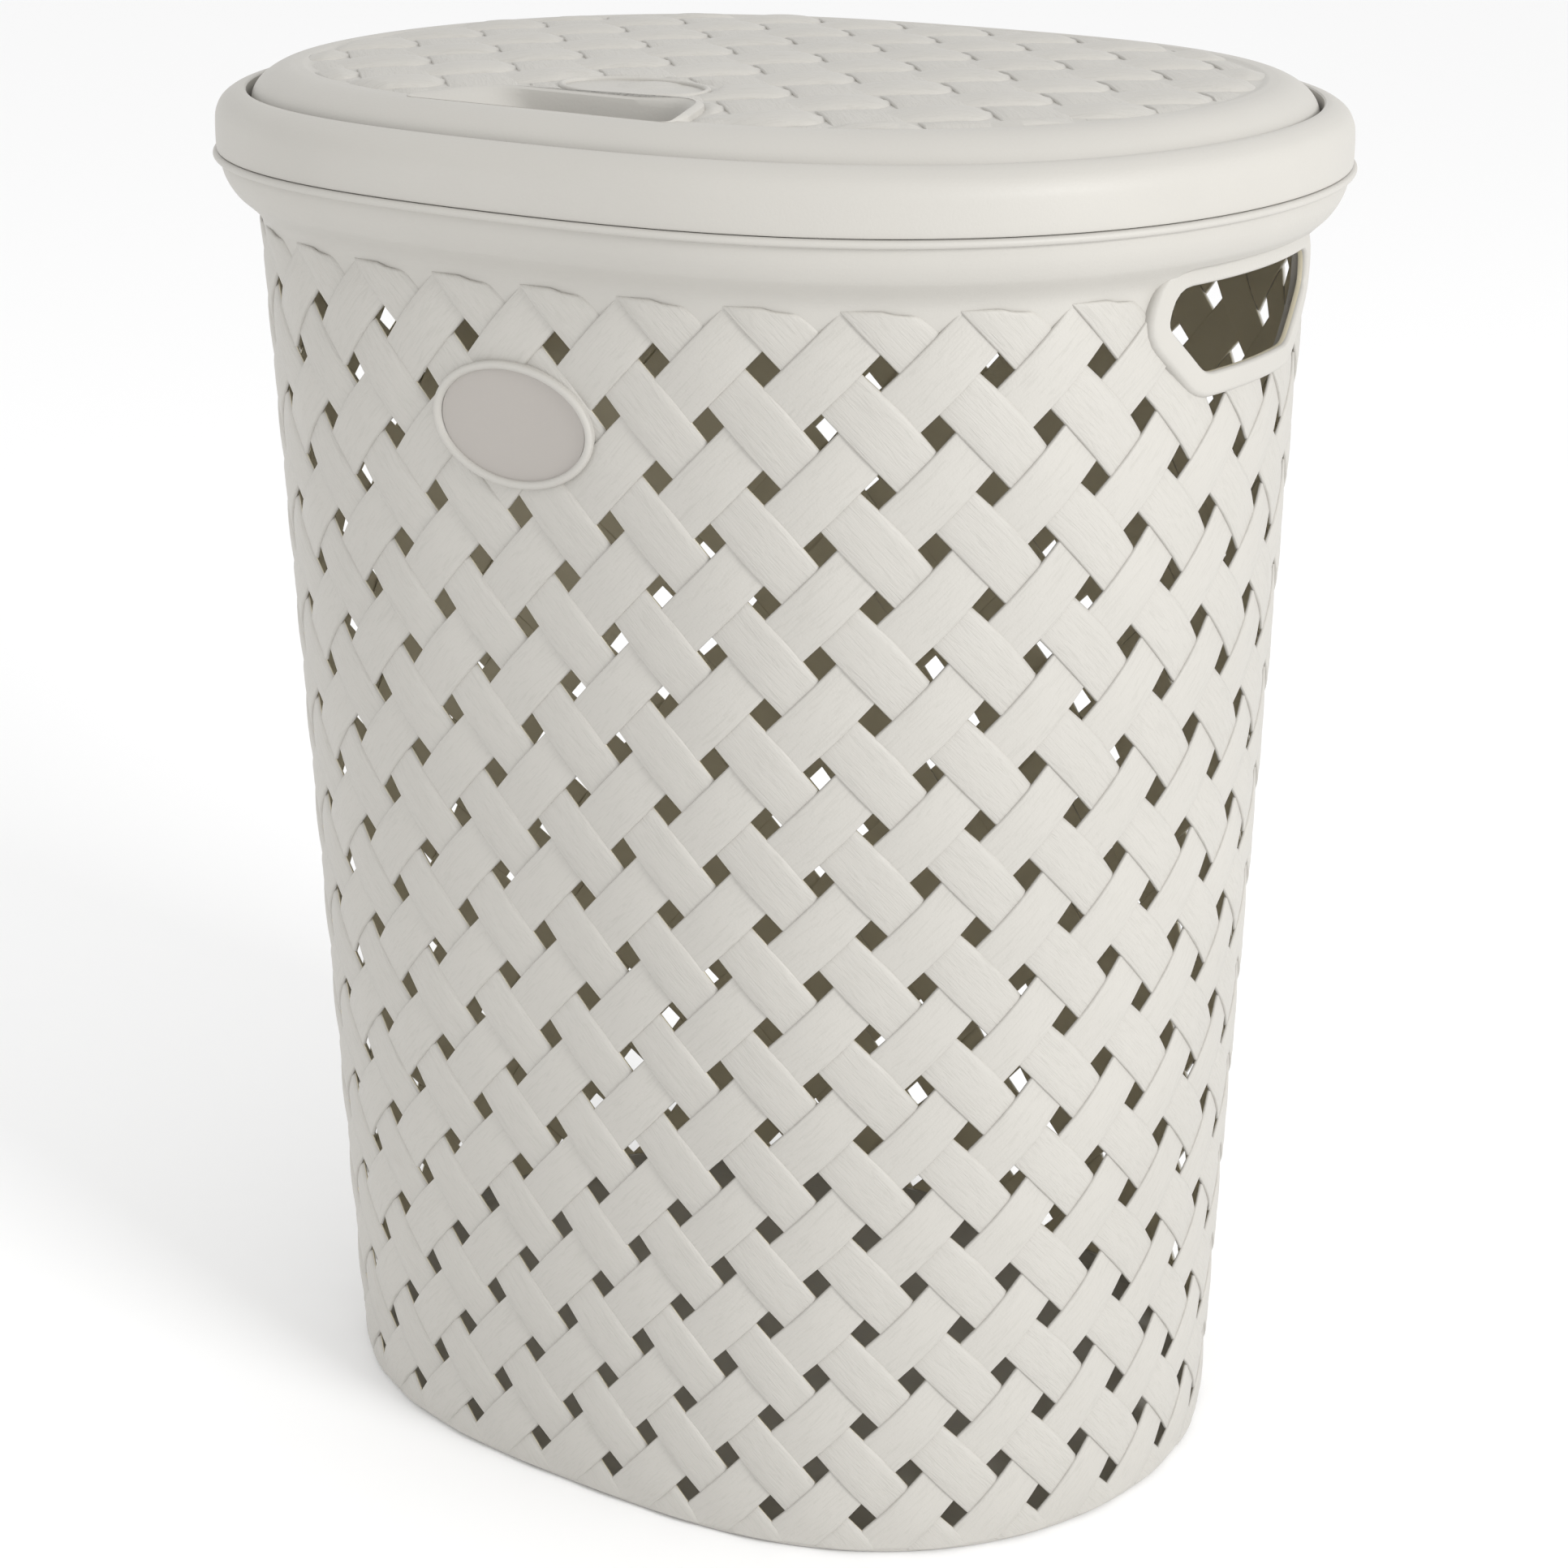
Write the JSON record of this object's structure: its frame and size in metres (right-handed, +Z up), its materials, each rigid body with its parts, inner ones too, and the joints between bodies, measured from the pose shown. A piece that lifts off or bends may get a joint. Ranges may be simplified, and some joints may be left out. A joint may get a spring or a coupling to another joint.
{
  "type": "laundry hamper with lid",
  "caption": "Oval woven-look plastic laundry hamper with vented tapered walls, end hand-holds, lift-off lid frame and rear-hinged lid with a finger opening.",
  "frame": {"origin": "centre of the underside of the basket's base, on the floor", "axes": "+Z up, front with the badge towards -Y, hand-holds at the +X and -X ends, lid hinge at the back along X"},
  "size_m": [0.4694, 0.3928, 0.5915],
  "materials": {
    "moulded_plastic": "fine stippled matt polypropylene, warm ivory grey",
    "badge_plastic": "smooth satin polypropylene, a shade darker"
  },
  "bodies": {
    "basket": {"basket_base": "moulded_plastic", "basket_wall_front": "moulded_plastic", "basket_wall_right": "moulded_plastic", "basket_wall_back": "moulded_plastic", "basket_wall_left": "moulded_plastic", "basket_rim": "moulded_plastic", "hand_hold_bezel_right": "moulded_plastic", "hand_hold_bezel_left": "moulded_plastic", "front_badge": "badge_plastic"},
    "lid_frame": {"lid_frame": "moulded_plastic", "hinge_bearing_right": "moulded_plastic", "hinge_bearing_left": "moulded_plastic"},
    "lid": {"lid": "moulded_plastic", "hinge_trunnion_right": "moulded_plastic", "hinge_trunnion_left": "moulded_plastic", "lid_badge": "badge_plastic"}
  },
  "joints": [
    {"name": "lid_frame_lift", "type": "slide", "parent": "basket", "child": "lid_frame", "axis": [0, 0, 1], "range_m": [0, 0.12]},
    {"name": "lid_hinge", "type": "hinge", "parent": "lid_frame", "child": "lid", "pos_m": [0, 0.154, 0.5736], "axis": [-1, 0, 0], "range_deg": [0, 95]}
  ]
}
